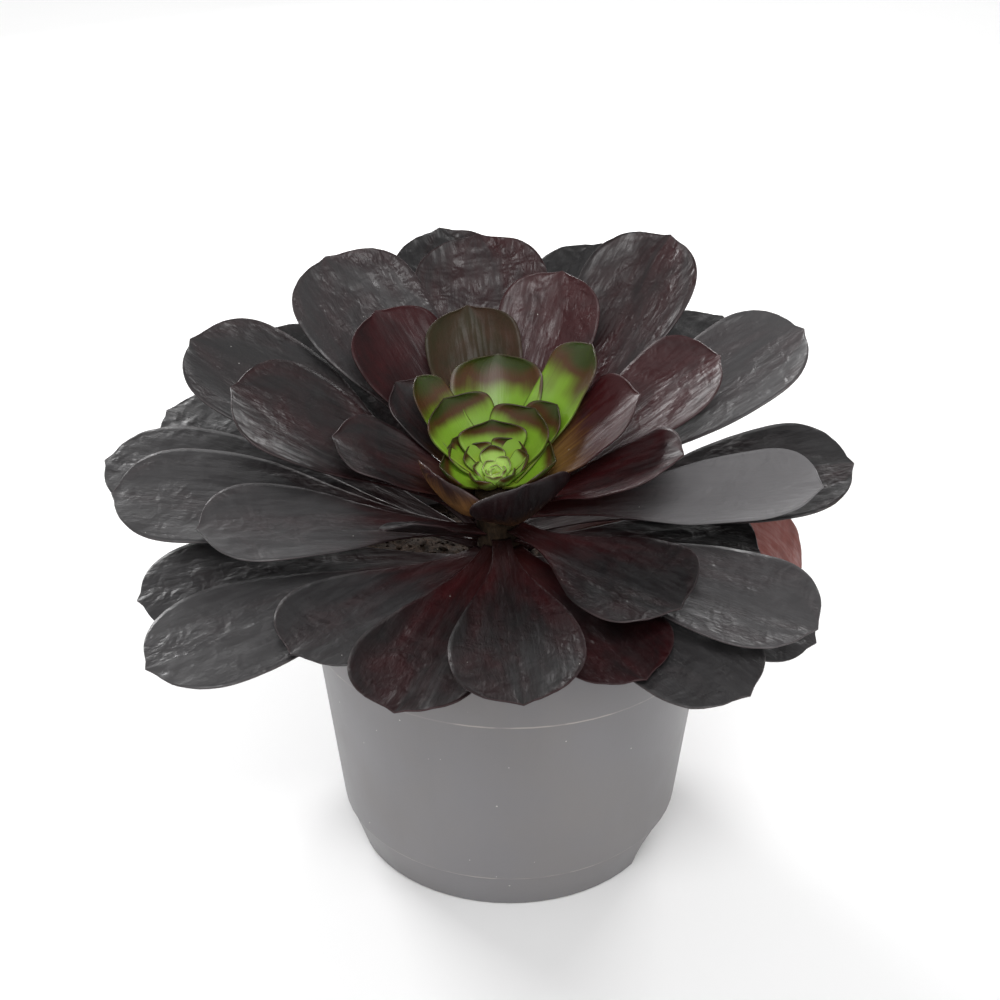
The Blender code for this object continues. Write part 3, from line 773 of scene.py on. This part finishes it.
# Each row is one of the larger green leaves: its turn, the rise at its root,
# its length and width in millimetres.
HEART_OUTER = (
    (129, 25, 62, 24),
    (176, 20, 49, 37),
    (-134, 28, 48, 17),
    (-83, 21, 20, 24),
    (75, 21, 25, 24),
    (-141, 29, 35, 31),
    (138, 29, 29, 29),
    (126, 23, 35, 20),
    (-179, 33, 21, 27),
    (-127, 23, 20, 19),
    (143, 27, 15, 17),
    (-140, 27, 14, 14),
)


def heart_skin(name, end, band, fresh, shade, bud):
    """Young skin: shade at the root, fresh green, paler in the bud, a band, an end.
    A heart leaf's wine number holds how far inward it stands."""
    material, tree, shader = new_material(name)
    place = add_node(tree, "ShaderNodeTexCoord").outputs["Object"]
    spot, aside, along = leaf_shares(tree)
    youth = leaf_number(tree, "wine")
    streak = grain(tree, stretched(tree, spot, (26.0, 2.0, 1.0)), 1.0, 4.0, 0.6, 0.2)
    cloud = grain(tree, place, 75.0, 1.0)
    wander = swayed(tree, swayed(tree, along, streak, 0.05), cloud, 0.30)
    wander = maths(tree, "SUBTRACT", wander, maths(tree, "MULTIPLY", youth, 0.26))
    pale = mix_colour(tree, step_between(tree, youth, 0.08, 0.7), fresh, bud)
    colour = mix_colour(tree, step_between(tree, wander, 0.10, 0.42), shade, pale)
    colour = mix_colour(tree, step_between(tree, wander, 0.60, 0.80), colour, band)
    colour = mix_colour(tree, step_between(tree, wander, 0.80, 0.94), colour, end)
    veins = maths(tree, "MULTIPLY", step_between(tree, streak, 0.55, 0.75),
                  step_between(tree, along, 0.7, 0.2, 0.0, 0.5))
    colour = mix_colour(tree, veins, colour, tuple(min(1.0, 1.5 * c) for c in fresh))
    margin = maths(tree, "MAXIMUM", step_between(tree, aside, 0.96, 0.995),
                   step_between(tree, along, 0.985, 0.998))
    rim = mix_colour(tree, step_between(tree, youth, 0.40, 0.80), HEART_RIM, BUD_RIM)
    colour = mix_colour(tree, maths(tree, "MULTIPLY", margin, 0.7), colour, rim)
    tree.links.new(colour, shader.inputs["Base Color"])
    tree.links.new(step_between(tree, cloud, 0.3, 0.7, 0.36, 0.48), shader.inputs["Roughness"])
    shader.inputs["Subsurface Weight"].default_value = 0.12
    shader.inputs["Subsurface Radius"].default_value = (0.0015, 0.0025, 0.0008)
    shader.inputs["Subsurface Scale"].default_value = 1.0
    normal = relief(tree, streak, 0.0003, 0.4)
    tree.links.new(relief(tree, cloud, 0.0006, 0.3, normal), shader.inputs["Normal"])
    return material


green_face = heart_skin(
    "green_leaf_face", end=(0.032, 0.046, 0.005), band=(0.075, 0.030, 0.008),
    fresh=(0.195, 0.360, 0.022), shade=(0.300, 0.410, 0.040), bud=(0.540, 0.760, 0.200))
green_back = heart_skin(
    "green_leaf_back", end=(0.030, 0.020, 0.014), band=(0.042, 0.016, 0.012),
    fresh=(0.085, 0.075, 0.018), shade=(0.130, 0.150, 0.030), bud=(0.200, 0.300, 0.060))


def join_pieces(name, pieces, node):
    """Applies the pieces' thickness and makes one piece of them all."""
    depsgraph = bpy.context.evaluated_depsgraph_get()
    bm = bmesh.new()
    for piece in pieces:
        bm.from_mesh(piece.evaluated_get(depsgraph).data)
    materials = list(pieces[0].data.materials)
    whole = finish_piece(name, bm, materials, node)
    for piece in pieces:
        bpy.data.objects.remove(piece, do_unlink=True)
    return whole


def heart_leaf(number, turn, rise, length, width, inward):
    """One young leaf; inward is 0 at the rim of the bowl and 1 in the bud."""
    lift = Matrix.Translation((0, 0, HEART_LIFT + HEART_INWARD_LIFT * inward))
    return leaf_object(f"heart_leaf_{number:02d}", {
        "frame": heart_frame @ lift, "start": HEART_START * (1 - inward), "turn": turn,
        "rise": rise, "bend": HEART_BEND, "roll": 0.0, "cup": HEART_CUP, "length": length,
        "width": width, "waist": YOUNG_WAIST, "root_width": 0.24 * length + 0.003,
        "thickness": HEART_THICKNESS - HEART_INWARD_THINNING * inward, "point": HEART_POINT,
        "seed": number * 0.618 % 1.0, "wine": inward, "green": 1.0,
        "crumple": HEART_CRUMPLE, "painted_sheen": 0.0,
    }, [green_face, green_back], rows=HEART_ROWS, columns=HEART_COLUMNS)


heart_frame = rosette_matrix(STEM_LEAFY + GAP)
heart_leaves = []
for number, (turn, rise, length, width) in enumerate(HEART_OUTER):
    heart_leaves.append(heart_leaf(number, turn, rise, length / 1000, width / 1000,
                                   HEART_OUTER_INWARD * number / len(HEART_OUTER)))
for number in range(HEART_INNER_COUNT):
    inward = number / (HEART_INNER_COUNT - 1)
    length = HEART_INNER_LONGEST * HEART_INNER_DECLINE ** number
    heart_leaves.append(heart_leaf(
        number + len(HEART_OUTER), HEART_INNER_TURN - GOLDEN_ANGLE * number,
        HEART_INNER_RISE + HEART_INNER_STEEPER * inward, length, 0.7 * length + 0.002,
        HEART_OUTER_INWARD + (1 - HEART_OUTER_INWARD) * inward))
join_pieces("green_heart", heart_leaves, "heart_rosette")

# Floor, light, camera
# A plain pale floor under soft white studio light, seen from a little above.
# The boxes stand round the plant, and the far one lights the floor behind it.

FLOOR_HALF = 4.0
FLOOR_PALE = ((0.90, 0.90, 0.90), (0.93, 0.93, 0.93))
AIR_STRENGTH = 0.38
CEILING_STRENGTH = 1.15
CEILING_SPREAD = math.radians(46.0)
CEILING_TURN = (math.radians(44.0), math.radians(-6.0), 0.0)
PLANT_MIDDLE = (0.0, 0.0, 0.15)
LENS_LENGTH = 56.84
SENSOR_WIDTH = 36.0
CAMERA_PLACE = (-0.0041, -0.574, 0.4385)
CAMERA_DROP = 26.47

floor = bmesh.new()
bmesh.ops.create_grid(floor, x_segments=1, y_segments=1, size=FLOOR_HALF)
floor_mesh = bpy.data.meshes.new("floor")
floor.to_mesh(floor_mesh)
floor.free()
floor_piece = bpy.data.objects.new("floor", floor_mesh)
bpy.context.scene.collection.objects.link(floor_piece)
paint, paint_tree, paint_shader = new_material("pale_floor")
floor_place = add_node(paint_tree, "ShaderNodeTexCoord").outputs["Object"]
paint_tree.links.new(mix_colour(paint_tree, grain(paint_tree, floor_place, 3.0), *FLOOR_PALE),
                     paint_shader.inputs["Base Color"])
paint_shader.inputs["Roughness"].default_value = 0.9
floor_mesh.materials.append(paint)

world = bpy.data.worlds.new("studio")
bpy.context.scene.world = world
world.use_nodes = True
air = world.node_tree.nodes["Background"]
air.inputs["Color"].default_value = (1.0, 1.0, 1.0, 1.0)
air.inputs["Strength"].default_value = AIR_STRENGTH


def soft_box(name, place, aim, size, power):
    """A white soft light of a width and height, turned from its place to its aim."""
    light = bpy.data.lights.new(name, "AREA")
    light.shape = "RECTANGLE"
    light.size, light.size_y = size
    light.energy = power
    lamp = bpy.data.objects.new(name, light)
    lamp.visible_camera = False
    bpy.context.scene.collection.objects.link(lamp)
    lamp.location = place
    lamp.rotation_euler = (Vector(aim) - Vector(place)).to_track_quat("-Z", "Y").to_euler()


soft_box("key_box", (0.10, -0.75, 1.15), PLANT_MIDDLE, (0.45, 0.35), 4.5)
soft_box("back_left_box", (-1.0, 1.2, 0.85), PLANT_MIDDLE, (0.9, 0.6), 21.0)
soft_box("back_right_box", (0.7, 1.5, 0.80), PLANT_MIDDLE, (0.8, 0.6), 14.0)
soft_box("far_box", (0.0, 2.3, 1.6), (0.0, 2.3, 0.0), (4.0, 1.2), 20.0)
dome = bpy.data.lights.new("ceiling", "SUN")
dome.energy = CEILING_STRENGTH
dome.angle = CEILING_SPREAD
ceiling = bpy.data.objects.new("ceiling", dome)
bpy.context.scene.collection.objects.link(ceiling)
ceiling.rotation_euler = CEILING_TURN

lens = bpy.data.cameras.new("camera")
lens.lens = LENS_LENGTH
lens.sensor_width = SENSOR_WIDTH
camera = bpy.data.objects.new("camera", lens)
bpy.context.scene.collection.objects.link(camera)
camera.location = CAMERA_PLACE
camera.rotation_euler = (math.radians(90.0 - CAMERA_DROP), 0.0, 0.0)
bpy.context.scene.camera = camera
bpy.context.scene.view_settings.view_transform = "Standard"
